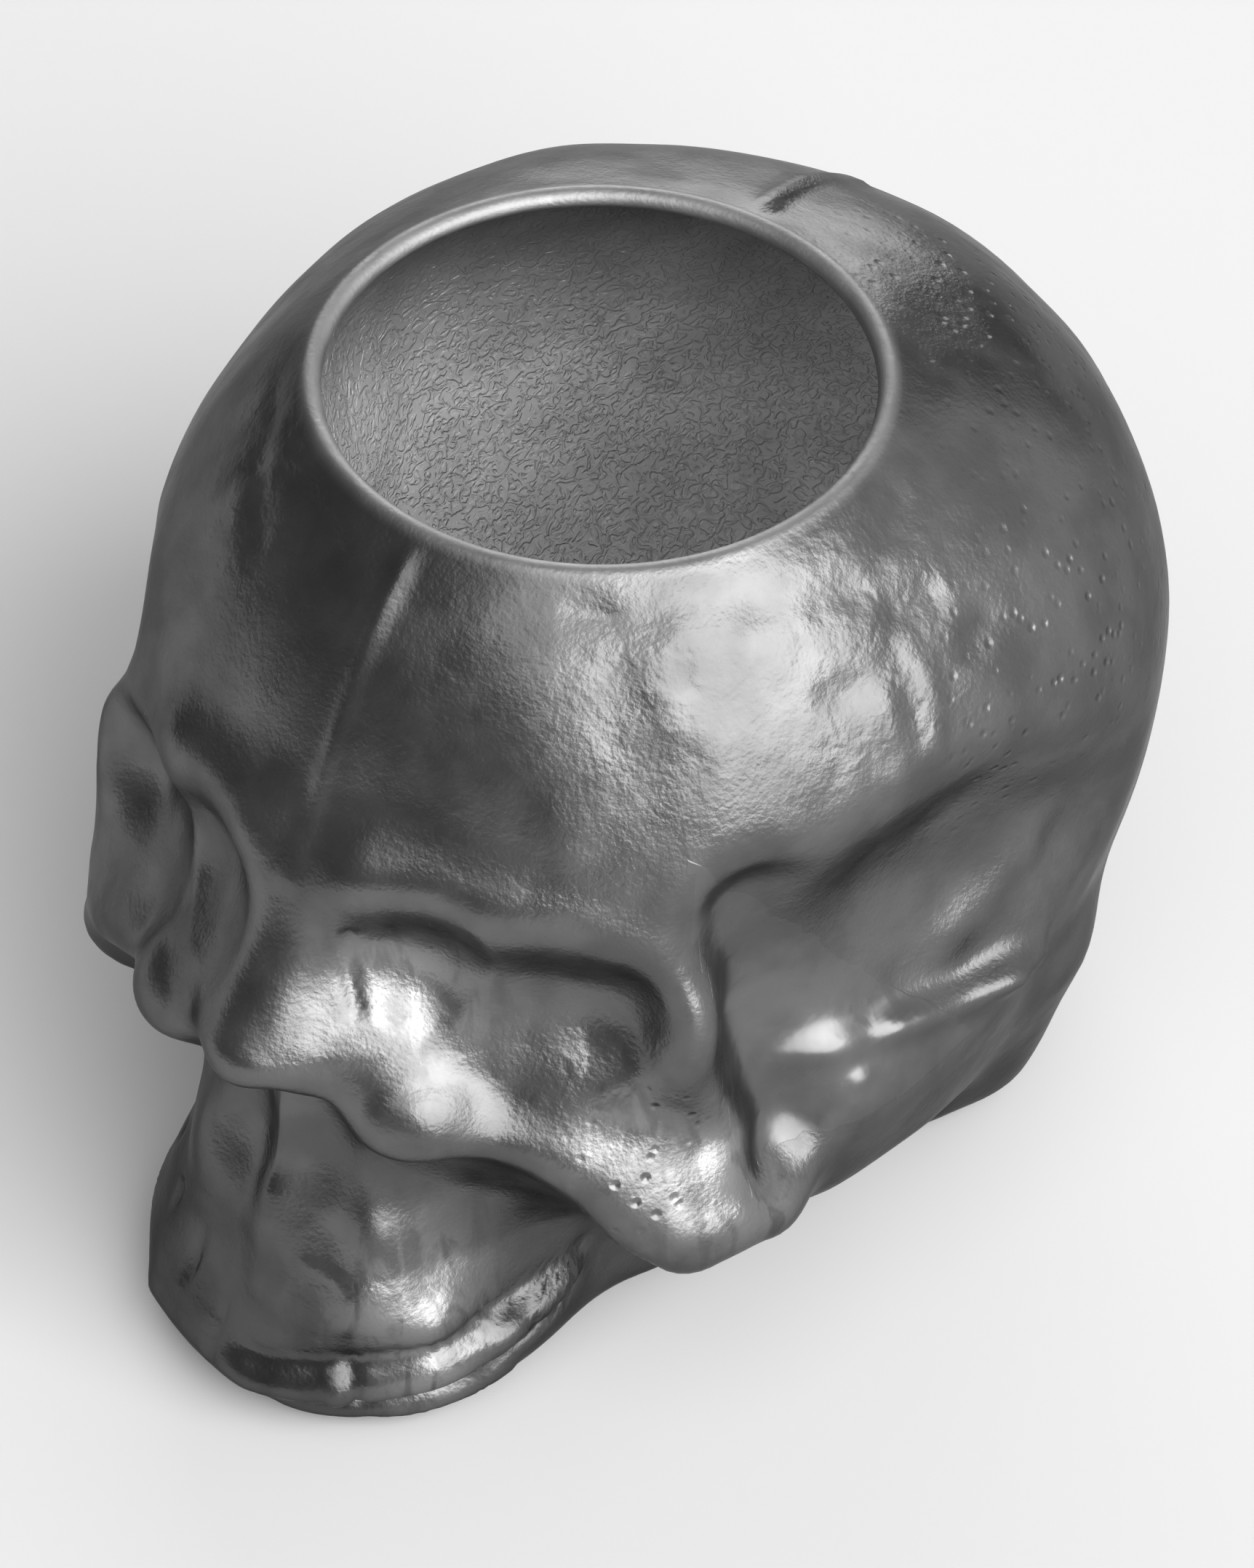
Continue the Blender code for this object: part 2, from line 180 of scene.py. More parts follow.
# Relief on the outside: the line of each stroke, its half width, and how far it stands out
RELIEF = (
    (SEAM, 0.0013, 0.0006),
    (BACK_SEAM, 0.0012, 0.0009),
    (TOOTH_BAND, 0.0026, 0.0022),
    (TOOTH_LINE, 0.0012, -0.0010),
    (GUM_GROOVE, 0.0011, -0.0018),
    (GUM_EDGE, 0.0012, 0.0008),
    (((0.0120, -0.0655, 0.0145), (0.0132, -0.0655, 0.0060)), 0.0006, -0.0010),
    (((0.0100, -0.0672, 0.0130), (0.0112, -0.0668, 0.0075)), 0.0009, 0.0006),
    (((0.0232, -0.0480, 0.0160), (0.0240, -0.0470, 0.0100)), 0.0007, -0.0007),
    (((-0.0042, -0.0695, 0.0200), (-0.0045, -0.0705, 0.0090)), 0.0008, -0.0006),
    (((-0.0105, -0.0660, 0.0220), (-0.0110, -0.0680, 0.0090)), 0.0008, -0.0008),
    (((-0.0165, -0.0610, 0.0220), (-0.0175, -0.0625, 0.0090)), 0.0008, -0.0008),
    (((-0.0215, -0.0540, 0.0220), (-0.0222, -0.0545, 0.0090)), 0.0008, -0.0008),
    (((-0.0060, -0.0625, 0.0340), (-0.0034, -0.0670, 0.0220)), 0.0055, -0.0006),
    (((0.0, -0.0645, 0.0340), (0.0010, -0.0680, 0.0220)), 0.0030, 0.0008),
    (((0.0110, -0.0650, 0.0215), (0.0180, -0.0590, 0.0185)), 0.0060, 0.0038),
    (((0.0165, -0.0600, 0.0370), (0.0230, -0.0520, 0.0330)), 0.0045, -0.0020),
    (((0.0085, -0.0640, 0.0310), (0.0085, -0.0655, 0.0240)), 0.0030, -0.0008),
    (((0.0073, -0.0570, 0.0765), (0.0077, -0.0578, 0.0711), (0.0097, -0.0591, 0.0671)), 0.0007, -0.0006),
    (((0.0453, -0.0046, 0.1018), (0.0485, -0.0051, 0.0968), (0.0511, -0.0076, 0.0906)), 0.0016, 0.0004),
    (((0.0370, -0.0487, 0.0463), (0.0395, -0.0467, 0.0458)), 0.0006, -0.0006),
    (((0.0503, -0.0177, 0.0453), (0.0504, -0.0170, 0.0450)), 0.0012, 0.0005),
    (((0.0060, -0.0655, 0.0270), (0.0100, -0.0645, 0.0262)), 0.0009, 0.0006),
    (((0.0065, -0.0670, 0.0245), (0.0110, -0.0650, 0.0240)), 0.0009, 0.0006),
    (((0.0070, -0.0680, 0.0220), (0.0105, -0.0665, 0.0215)), 0.0009, 0.0005),
    (ARCH_RIDGE, 0.0024, 0.0015),
    (((0.0512, -0.0110, 0.0490), (0.0535, -0.0020, 0.0470), (0.0550, 0.0060, 0.0458)), 0.0022, 0.0016),
    (ARCH_FILL, 0.0040, 0.0014),
    (CHEEK_FOOT, 0.0060, 0.0028),
    (CHEEK_TOP, 0.0050, -0.0018),
)

# Where the glaze is wrinkled, and where it is pitted: centre and radius
WRINKLED = (
    ((-0.0220, -0.0300, 0.1100), 0.0120), ((0.0400, -0.0040, 0.1070), 0.0130),
    ((0.0460, -0.0110, 0.0960), 0.0130), ((0.0080, -0.0660, 0.0240), 0.0060),
    ((0.0300, -0.0280, 0.1050), 0.0120), ((0.0340, -0.0450, 0.0600), 0.0080),
)
PITTED = (
    ((0.0500, 0.0250, 0.0900), 0.0200), ((0.0500, 0.0080, 0.0880), 0.0140),
    ((0.0404, -0.0442, 0.0529), 0.0070), ((0.0382, -0.0477, 0.0460), 0.0070),
    ((0.0300, 0.0500, 0.1020), 0.0200),
)

# Painted highlights: places where the glaze is painted lighter to stand for the key light's reflection:
# cheekbones, beside the nose, above the teeth
PAINTED_HIGHLIGHT_PLACES = (
    ((0.0446, -0.0406, 0.0457), 0.0075), ((0.0505, -0.0363, 0.0375), 0.0075),
    ((0.0357, -0.0466, 0.0533), 0.0060), ((0.0161, -0.0596, 0.0235), 0.0090),
    ((0.0129, -0.0539, 0.0685), 0.0090),
    ((-0.0446, -0.0406, 0.0457), 0.0090), ((-0.0505, -0.0363, 0.0375), 0.0090),
    ((0.0190, -0.0600, 0.0120), 0.0070),
)

# Wrinkles of the glaze, and the slight unevenness of the whole cast: height, size and stretch
WRINKLE_HEIGHT = 0.00035
WRINKLE_SIZE = 0.0044
WRINKLE_STRETCH = (1.0, 1.0, 0.45)
UNEVEN_HEIGHT = 0.0004
UNEVEN_SIZE = 0.0120
UNEVEN_STRETCH = (1.0, 1.0, 0.7)

# The relief starts a little above the base and fades in over this height
RELIEF_FROM = BASE_EDGE / 6
RELIEF_FADE = BASE_EDGE / 2

# Thinner glaze on the rim, made duller, with its band painted lighter as a painted highlight: the height
# where it starts and fades in, and its band across the lip
RIM_GLAZE_LOW = 0.1110
RIM_GLAZE_FADE = 0.0020
RIM_BAND_MIDDLE = 0.3
RIM_BAND_HEIGHT = 1.5
RIM_BAND_SLOPE = 2.0

# Inside, the metallic glaze ends below the opening
INNER_GLAZE_EDGE = 0.0980
INNER_GLAZE_FADE = 0.0380

# Edge of the glaze that pooled in the temple, the least X, Y and Z of the pool, and how far
# in millimetres the distance from its edge is kept
POOL_EDGE = (0.0261, 0.0757)
POOL_SLOPE = (0.803, 0.597)
POOL_LEAST = (0.030, -0.036, 0.040)
POOL_LIMIT = 5.0
MILLIMETRES = 1000

# Grid of the casting
RAY_START = (0.0, 0.0, 0.0600)
COLUMNS = 330
FACE_CROWDING = 0.45
BASE_ROWS = 4
OUTER_ROWS = 225
LIP_ROWS = 8
INNER_ROWS = 56
LIP_START = math.radians(50)
LIP_END = math.radians(190)
LIP_BLEND = math.radians(18)

# Search inward along each ray, from this many times the longest braincase radius
SEARCH_REACH = 1.5
SCAN_STEPS = 34
HALVINGS = 14

# Camera: what it looks at, from where, and its turn about its own axis
TARGET = (0.0, 0.0064, 0.0443)
CAMERA_AZIMUTH = math.radians(35.0)
CAMERA_ELEVATION = math.radians(45.0)
CAMERA_ROLL = math.radians(0.8)
CAMERA_DISTANCE = 0.650
LENS = 152.93
SENSOR = 36.0

# Studio
KEY_DIRECTION = (0.82, -0.19, 0.52)
KEY_ANGLE = math.radians(60)
KEY_STRENGTH = 4.2
SIDE_DIRECTION = (0.70, 0.55, 0.45)
SIDE_ANGLE = math.radians(85)
SIDE_STRENGTH = 1.0
TOP_DIRECTION = (0.25, -0.45, 0.86)
TOP_ANGLE = math.radians(50)
TOP_STRENGTH = 1.0
BACK_DIRECTION = (-0.55, 0.80, 0.24)
BACK_ANGLE = math.radians(40)
BACK_STRENGTH = 1.5
WORLD_GREY = 0.14
FLOOR_SIZE = 6.0
FLOOR_GREY = 0.65
FLOOR_ROUGHNESS = 0.9

# Grey and shine of the glaze, from one cloud of it to the next
GLAZE_DARK = 0.115
GLAZE_LIGHT = 0.155
GLAZE_METALLIC = 0.92
GLAZE_TINT = (0.4, 0.4, 0.4, 1.0)
SHINE_SMOOTH = 0.27
SHINE_ROUGH = 0.36

# Painted shade darkens the glaze near the base: share of its grey there, and the heights between which
# that fades
PAINTED_SHADE_SHARE = 0.60
PAINTED_SHADE_FROM = 0.005
PAINTED_SHADE_TO = 0.055

# What the body inside adds to the grey and the roughness, and how metallic it is
INSIDE_DARK = 0.66
INSIDE_LIGHT = 0.78
INSIDE_ROUGHER = 0.15
INSIDE_METALLIC = 0.10

# What the rim, the painted highlight places and the pooled glaze add to the grey and the roughness; the
# lighter grey of the rim and of those places is painted highlight
RIM_HIGHLIGHT_LIGHTER = 0.20
RIM_ROUGHER = 0.25
PAINTED_HIGHLIGHT_LIGHTER = 0.16
HIGHLIGHT_STREAK_LEAST = 0.3
HIGHLIGHT_STREAK_STRETCH = (1.5, 1.5, 0.4)
POOL_LIGHTER = 0.012
POOL_SMOOTHER = 0.02

# How ragged and how soft the edge of the pool is, in millimetres
POOL_RAGGED = 0.9
POOL_SOFT = 0.15

# Clouds in the grey, the shine and the streaks of the painted highlights: waves a metre, and where each
# begins and is full
MOTTLE_WAVES = 95.0
MOTTLE_SPAN = (0.35, 0.65)
SHINE_WAVES = 180.0
SHINE_SPAN = (0.3, 0.7)
HIGHLIGHT_STREAK_WAVES = 210.0
HIGHLIGHT_STREAK_SPAN = (0.38, 0.55)
POOL_WAVES = 260.0

# Fine texture: waves a metre, and how high
GRAIN_WAVES = 1900.0
GRAIN_HEIGHT = 0.00005
PEEL_WAVES = 420.0
PEEL_HEIGHT = 0.00007
WRINKLED_HEIGHT = 0.00010
CRINKLE_WAVES = 560.0
CRINKLE_SPAN = (0.40, 0.60)
CRINKLE_HEIGHT = 0.00030
PIT_WAVES = 430.0
PIT_REACH = 0.34
PIT_DEPTH = 0.00025
POOL_HEIGHT = 0.00005


def ellipsoid(points, centre, radii):
    """Approximate signed distance to an ellipsoid, below zero inside."""
    scaled = (points - centre) / radii
    length = np.linalg.norm(scaled, axis=1)
    slope = np.linalg.norm(scaled / radii, axis=1)
    return length * (length - 1.0) / np.maximum(slope, 1e-9)


def ridge(points, line, radii):
    """Signed distance to a round ridge along a line, thicker or thinner from point to point."""
    nearest = np.full(len(points), np.inf)
    for start, end, start_radius, end_radius in zip(line, line[1:], radii, radii[1:]):
        along = np.subtract(end, start)
        share = np.clip((points - start) @ along / (along @ along), 0.0, 1.0)
        gap = np.linalg.norm(points - start - share[:, None] * along, axis=1)
        nearest = np.minimum(nearest, gap - start_radius - share * (end_radius - start_radius))
    return nearest


def join(a, b, blend):
    """Union of two forms, with a fillet where they meet."""
    overlap = np.maximum(blend - np.abs(a - b), 0.0) / blend
    return np.minimum(a, b) - overlap**2 * blend / 4.0


def common(a, b, blend):
    """What two forms share, with a rounded edge."""
    return -join(-a, -b, blend)


def mirrored(points):
    """The same points, all on the skull's left side."""
    return np.abs(points) * [1.0, 0.0, 0.0] + points * [0.0, 1.0, 1.0]


def skull_form(points):
    """Signed distance to the skull's outside, before it is cut flat at the base."""
    left = mirrored(points)
    jaw = mirrored(points - JAW_SHIFT)
    form = ellipsoid(left, BRAINCASE_CENTRE, BRAINCASE_RADII)
    form = join(form, ellipsoid(left, PARIETAL_CENTRE, PARIETAL_RADII), BRAINCASE_BLEND)
    form = join(form, ellipsoid(left, CROWN_CENTRE, CROWN_RADII), BRAINCASE_BLEND)
    form = join(form, ellipsoid(left, SKULL_BASE_CENTRE, SKULL_BASE_RADII), BONE_BLEND)
    form = common(form, -ridge(left, TEMPLE_BACK_LINE, TEMPLE_BACK_RADII), HOLLOW_BLEND)
    form = common(form, -ridge(left, TEMPLE_LOW_LINE, TEMPLE_LOW_RADII), HOLLOW_BLEND)
    form = common(form, -ridge(left, UNDERCUT_LINE, UNDERCUT_RADII), HOLLOW_BLEND)
    form = join(form, ridge(jaw, PALATE_LINE, PALATE_RADII), BONE_BLEND)
    form = join(form, ridge(jaw, JAW_LINE, JAW_RADII), BONE_BLEND)
    form = join(form, ridge(left, MIDDLE_LINE, MIDDLE_RADII), BONE_BLEND)
    form = join(form, ridge(left, CANINE_LINE, CANINE_RADII), BONE_BLEND)
    form = join(form, ridge(left, MASTOID_LINE, MASTOID_RADII), BONE_BLEND)
    form = join(form, ridge(left, CHEEK_LINE, CHEEK_RADII), BONE_BLEND)
    form = join(form, ridge(left, ARCH_TOP_LINE, ARCH_TOP_RADII), ARCH_BLEND)
    form = join(form, ridge(left, ARCH_LOW_LINE, ARCH_LOW_RADII), ARCH_BLEND)
    form = common(form, -ridge(left, TEMPLE_LINE, TEMPLE_RADII), HOLLOW_BLEND)
    form = join(form, ridge(left, BROW_LINE, BROW_RADII), BONE_BLEND)
    form = join(form, ridge(left, SOCKET_BAR_LINE, SOCKET_BAR_RADII), BONE_BLEND)
    form = join(form, ridge(left, NOSE_LINE, NOSE_RADII), BONE_BLEND)
    form = join(form, ridge(left, NOSE_SIDE_LINE, NOSE_SIDE_RADII), BONE_BLEND)
    form = join(form, ridge(left, NOSE_FLANK_LINE, NOSE_FLANK_RADII), BONE_BLEND)
    form = common(form, -ridge(left, SOCKET_LINE, SOCKET_RADII), HOLLOW_BLEND)
    form = common(form, -ridge(left, SOCKET_TOP_LINE, SOCKET_TOP_RADII), HOLLOW_BLEND)
    form = join(form, ridge(left, SOCKET_FLOOR_LINE, SOCKET_FLOOR_RADII), ARCH_BLEND)
    form = common(form, -ridge(left, FOSSA_LINE, FOSSA_RADII), HOLLOW_BLEND)
    form = common(form, -ellipsoid(left, NOSTRIL_CENTRE, NOSTRIL_RADII), HOLLOW_BLEND)
    return form


def outside(points):
    """The skull, standing on its flat base."""
    return common(skull_form(points), -points[:, 2], BASE_EDGE)


def hollow(points):
    """The inside, one wall in from the skull and flat at the floor."""
    return common(skull_form(points) + WALL, FLOOR_THICKNESS - points[:, 2], FLOOR_EDGE)


def reach(form, directions):
    """How far the form goes from the start of the rays, along each direction."""
    step = SEARCH_REACH * max(BRAINCASE_RADII) / SCAN_STEPS
    near = np.zeros(len(directions))
    open_rays = np.arange(len(directions))
    for count in range(SCAN_STEPS, 0, -1):
        inside = form(RAY_START + directions[open_rays] * (count * step)) < 0
        near[open_rays[inside]] = count * step
        open_rays = open_rays[~inside]
    far = near + step
    for _ in range(HALVINGS):
        middle = (near + far) / 2
        inside = form(RAY_START + directions * middle[:, None]) < 0
        near = np.where(inside, middle, near)
        far = np.where(inside, far, middle)
    return near


def directions_to(bearing, elevation):
    """Unit vectors with these bearings around the axis and elevations above the level."""
    level = np.cos(elevation)
    return np.stack([level * np.cos(bearing), level * np.sin(bearing), np.sin(elevation)], axis=-1)


def ray_to(across, height):
    """Elevation and length of the ray to a point this far from the axis, at this height."""
    rise = height - RAY_START[2]
    return np.arctan2(rise, across), np.hypot(across, rise)


def flat_reach(form, height, edge, bearing):
    """How far from the axis the flat face at this height goes before its rounded edge."""
    def level(points):
        flat = points * 1.0
        flat[:, 2] = height
        return form(flat) + edge
    return reach(level, directions_to(bearing, np.zeros_like(bearing)))


def lip_point(angle):
    """A point on the lip's round section: its distance from the axis and its height."""
    half = RIM_THICKNESS / 2
    return OPENING_RADIUS + half + half * math.cos(angle), RIM_HEIGHT - half + half * math.sin(angle)


def level_ring(across, height, bearing):
    """Points at one height, this far from the axis along each bearing."""
    sideways = across * np.cos(bearing)
    backward = across * np.sin(bearing)
    return np.stack([sideways, backward, np.full_like(bearing, height)], axis=-1)


def flat_rings(across, height, bearing):
    """Rings of a flat face, from near its middle out to its edge."""
    for share in np.linspace(0.0, 1.0, BASE_ROWS + 1)[1:]:
        yield level_ring(share * across, height, bearing)


def wall_rings(form, across, height, lip_angle, count, bearing):
    """Rings of one side of the wall, from above its flat face up to the lip."""
    low, _ = ray_to(across, height)
    top, top_length = ray_to(*lip_point(lip_angle))
    share = np.linspace(0.0, 1.0, count + 1)[1:, None]
    elevation = low + (top - low) * share
    around = np.broadcast_to(bearing, elevation.shape)
    directions = directions_to(around, elevation)
    length = reach(form, directions.reshape(-1, 3)).reshape(elevation.shape)
    near_lip = np.clip(1.0 - (top - elevation) / LIP_BLEND, 0.0, 1.0)
    near_lip = near_lip**2 * (3.0 - 2.0 * near_lip)
    length = length + near_lip * (top_length - length[-1])
    return list(RAY_START + directions * length[:, :, None])


def lip_rings(bearing):
    """Rings over the top of the lip, from its outer side to its inner side."""
    for angle in np.linspace(LIP_START, LIP_END, LIP_ROWS + 2)[1:-1]:
        yield level_ring(*lip_point(angle), bearing)


def casting_rings():
    """All rings of the casting: base, outside, lip, inside and floor."""
    turn = np.arange(COLUMNS) * 2 * np.pi / COLUMNS
    bearing = turn - FACE_CROWDING * np.sin(turn) - np.pi / 2
    base = flat_reach(skull_form, 0.0, BASE_EDGE, bearing)
    floor = flat_reach(skull_form, FLOOR_THICKNESS, WALL + FLOOR_EDGE, bearing)
    rings = list(flat_rings(base, 0.0, bearing))
    rings += wall_rings(outside, base, 0.0, LIP_START, OUTER_ROWS, bearing)
    rings += list(lip_rings(bearing))
    rings += wall_rings(hollow, floor, FLOOR_THICKNESS, LIP_END, INNER_ROWS, bearing)[::-1]
    rings += list(flat_rings(floor, FLOOR_THICKNESS, bearing))[::-1]
    return np.array(rings)


def stroke(points, line, width):
    """One on the line, and fading away over its half width."""
    away = ridge(points, line, (0.0,) * len(line))
    return np.exp(-np.square(away / width))


def patches(points, places):
    """One in the middle of each place, and zero away from them all."""
    mask = np.zeros(len(points))
    for centre, radius in places:
        mask = np.maximum(mask, np.exp(-np.square(np.linalg.norm(points - centre, axis=1) / radius)))
    return mask


def unevenness(points, size, stretch):
    """Smooth noise over the points, between about -1 and 1."""
    scaled = points / size * stretch
    return np.array([noise.noise(point) for point in scaled.tolist()])


def relief(points):
    """How far the surface with its relief stands out from the plain form."""
    height = sum(tall * stroke(points, line, width) for line, width, tall in RELIEF)
    height = height - DENT_DEPTH * sum(stroke(points, line, DENT_WIDTH) for line in DENTS)
    wrinkled = patches(points, WRINKLED)
    height = height + wrinkled * WRINKLE_HEIGHT * unevenness(points, WRINKLE_SIZE, WRINKLE_STRETCH)
    return height + UNEVEN_HEIGHT * unevenness(points, UNEVEN_SIZE, UNEVEN_STRETCH)


def add_values(mesh, name, values):
    """Stores one number at each point of the mesh."""
    layer = mesh.attributes.new(name, "FLOAT", "POINT")
    layer.data.foreach_set("value", np.asarray(values, dtype=np.float32))


def carve(mesh, inner_from):
    """Gives the outside its relief, and marks the places that the glaze, its painted highlights and its
    painted shade depend on.
    """
    points = np.empty(len(mesh.vertices) * 3)
    normals = np.empty(len(mesh.vertices) * 3)
    mesh.vertices.foreach_get("co", points)
    mesh.vertex_normals.foreach_get("vector", normals)
    points, normals = points.reshape(-1, 3), normals.reshape(-1, 3)
    inner = np.arange(len(points)) >= inner_from

    # The middle of the base is stored after the inner side, but it is outside
    inner[-2] = False
    plain = points.copy()
    from_axis = np.hypot(plain[:, 0], plain[:, 1]) - OPENING_RADIUS
    free = np.clip((plain[:, 2] - RELIEF_FROM) / RELIEF_FADE, 0.0, 1.0)
    free *= np.clip((from_axis - RIM_THICKNESS) / RIM_THICKNESS, 0.0, 1.0)
    free[inner] = 0.0
    points = plain + normals * (free * relief(plain))[:, None]
    mesh.vertices.foreach_set("co", points.ravel())

    under_edge = np.clip((INNER_GLAZE_EDGE - plain[:, 2]) / INNER_GLAZE_FADE, 0.0, 1.0)
    on_top = np.clip((plain[:, 2] - RIM_GLAZE_LOW) / RIM_GLAZE_FADE, 0.0, 1.0)
    off_band = np.abs(from_axis / RIM_THICKNESS - RIM_BAND_MIDDLE)
    add_values(mesh, "inside", inner * under_edge)
    # The rim band: painted lighter as a painted highlight, and made duller
    add_values(mesh, "rim", np.clip(RIM_BAND_HEIGHT - off_band * RIM_BAND_SLOPE, 0.0, 1.0) * on_top)
    add_values(mesh, "wrinkled", patches(plain, WRINKLED))
    add_values(mesh, "pitted", patches(plain, PITTED))
    # Places painted lighter, as painted highlights
    add_values(mesh, "painted_highlight", patches(plain, PAINTED_HIGHLIGHT_PLACES))
    # The height, which the painted shade near the base follows
    add_values(mesh, "height", plain[:, 2])
    past = (plain[:, 1] + POOL_EDGE[0]) * POOL_SLOPE[0] + (plain[:, 2] - POOL_EDGE[1]) * POOL_SLOPE[1]
    temple = np.all(plain > POOL_LEAST, axis=1)
    within = np.clip(-past * MILLIMETRES, -POOL_LIMIT, POOL_LIMIT)
    add_values(mesh, "pool", np.where(temple, within, -POOL_LIMIT))


def casting_mesh(name):
    """One closed mesh: the rings joined in order, with a fan at each end."""
    rings = casting_rings()
    rows = len(rings)
    points = np.concatenate([rings.reshape(-1, 3), [(0.0, 0.0, 0.0), (0.0, 0.0, FLOOR_THICKNESS)]])
    number = np.arange(rows * COLUMNS).reshape(rows, COLUMNS)
    here, after = number, np.roll(number, -1, axis=1)
    quads = np.stack([here[:-1], after[:-1], after[1:], here[1:]], axis=-1).reshape(-1, 4)
    ends = rows * COLUMNS
    faces = quads.tolist()
    faces += [(ends, after[0, column], here[0, column]) for column in range(COLUMNS)]
    faces += [(ends + 1, here[-1, column], after[-1, column]) for column in range(COLUMNS)]
    mesh = bpy.data.meshes.new(name)
    mesh.from_pydata(points.tolist(), [], faces)
    mesh.update()
    mesh.shade_smooth()
    carve(mesh, (BASE_ROWS + OUTER_ROWS + LIP_ROWS) * COLUMNS)
    mesh.update()
    return mesh


class Nodes:
    """Short ways to add nodes to a material."""

    def __init__(self, material):
        material.use_nodes = True
        self.material = material
        self.tree = material.node_tree
        self.shader = self.tree.nodes["Principled BSDF"]

    def set(self, node, index, value):
        """Links a socket to another, or gives it a number."""
        if isinstance(value, bpy.types.NodeSocket):
            self.tree.links.new(value, node.inputs[index])
        else:
            node.inputs[index].default_value = value

    def math(self, operation, a, b):
        """One calculation with two numbers."""
        node = self.tree.nodes.new("ShaderNodeMath")
        node.operation = operation
        self.set(node, 0, a)
        self.set(node, 1, b)
        return node.outputs[0]

    def plus(self, first, *others):
        """The sum of the numbers."""
        for other in others:
            first = self.math("ADD", first, other)
        return first

    def times(self, first, *others):
        """The product of the numbers."""
        for other in others:
            first = self.math("MULTIPLY", first, other)
        return first

    def value(self, name):
        """A number stored on the mesh."""
        node = self.tree.nodes.new("ShaderNodeAttribute")
        node.attribute_name = name
        return node.outputs["Fac"]

    def place(self, stretch=(1.0, 1.0, 1.0)):
        """Where on the object, in metres."""
        where = self.tree.nodes.new("ShaderNodeTexCoord")
        mapping = self.tree.nodes.new("ShaderNodeMapping")
        mapping.inputs["Scale"].default_value = stretch
        self.tree.links.new(where.outputs["Object"], mapping.inputs["Vector"])
        return mapping.outputs["Vector"]

    def noise(self, scale, detail=2.0, distortion=0.0, stretch=(1.0, 1.0, 1.0)):
        """Smooth noise between 0 and 1."""
        node = self.tree.nodes.new("ShaderNodeTexNoise")
        self.set(node, "Vector", self.place(stretch))
        self.set(node, "Scale", scale)
        self.set(node, "Detail", detail)
        self.set(node, "Distortion", distortion)
        return node.outputs["Fac"]

    def cells(self, scale):
        """Distance to the nearest of scattered points."""
        node = self.tree.nodes.new("ShaderNodeTexVoronoi")
        self.set(node, "Vector", self.place())
        self.set(node, "Scale", scale)
        return node.outputs["Distance"]

    def span(self, value, low, high, first, last):
        """Maps a number smoothly from one span to another."""
        node = self.tree.nodes.new("ShaderNodeMapRange")
        node.interpolation_type = "SMOOTHSTEP"
        for index, number in enumerate((value, low, high, first, last)):
            self.set(node, index, number)
        return node.outputs["Result"]

    def grey(self, value):
        """A grey of this value."""
        node = self.tree.nodes.new("ShaderNodeCombineColor")
        for index in range(3):
            self.set(node, index, value)
        return node.outputs["Color"]


def glaze_height(nodes, inside, pooled):
    """How high the fine texture of the glaze stands: grain, peel, crinkles, pits and the pool."""
    grain = nodes.noise(GRAIN_WAVES)
    peel = nodes.noise(PEEL_WAVES, detail=1.5, distortion=0.4)
    crinkle = nodes.span(nodes.noise(CRINKLE_WAVES, distortion=1.6), *CRINKLE_SPAN, 0.0, 1.0)
    pits = nodes.span(nodes.cells(PIT_WAVES), 0.0, PIT_REACH, -1.0, 0.0)
    uncovered = nodes.math("SUBTRACT", 1.0, pooled)
    return nodes.plus(
        nodes.times(grain, GRAIN_HEIGHT, uncovered),
        nodes.times(peel, PEEL_HEIGHT),
        nodes.times(crinkle, inside, CRINKLE_HEIGHT),
        nodes.times(peel, nodes.value("wrinkled"), WRINKLED_HEIGHT),
        nodes.times(pits, nodes.value("pitted"), PIT_DEPTH),
        nodes.times(pooled, POOL_HEIGHT),
    )


def glaze_grey(nodes, inside, pooled):
    """The cloudy grey of the glaze, darker near the base as painted shade and lighter on the rim and the
    highlight places as painted highlights.
    """
    mottle = nodes.noise(MOTTLE_WAVES, detail=4.0)
    cloudy = nodes.span(mottle, *MOTTLE_SPAN, GLAZE_DARK, GLAZE_LIGHT)
    low = nodes.span(nodes.value("height"), PAINTED_SHADE_FROM, PAINTED_SHADE_TO, PAINTED_SHADE_SHARE, 1.0)
    body = nodes.span(mottle, *MOTTLE_SPAN, INSIDE_DARK, INSIDE_LIGHT)
    streaks = nodes.noise(HIGHLIGHT_STREAK_WAVES, detail=5.0, distortion=0.6, stretch=HIGHLIGHT_STREAK_STRETCH)
    uneven = nodes.span(streaks, *HIGHLIGHT_STREAK_SPAN, HIGHLIGHT_STREAK_LEAST, 1.0)
    return nodes.plus(
        # Painted shade: the grey is darkened toward the base
        nodes.times(cloudy, low),
        nodes.times(inside, body),
        # Painted highlight: the rim band is painted lighter
        nodes.times(nodes.value("rim"), RIM_HIGHLIGHT_LIGHTER),
        # Painted highlights: the highlight places are painted lighter, in streaks
        nodes.times(nodes.value("painted_highlight"), uneven, PAINTED_HIGHLIGHT_LIGHTER),
        nodes.times(pooled, POOL_LIGHTER),
    )


def glaze_roughness(nodes, inside, pooled):
    """The glaze is smoother where it pooled, and duller on the rim and inside."""
    return nodes.plus(
        nodes.span(nodes.noise(SHINE_WAVES, detail=5.0), *SHINE_SPAN, SHINE_SMOOTH, SHINE_ROUGH),
        nodes.times(pooled, -POOL_SMOOTHER),
        nodes.times(inside, INSIDE_ROUGHER),
        nodes.times(nodes.value("rim"), RIM_ROUGHER),
    )


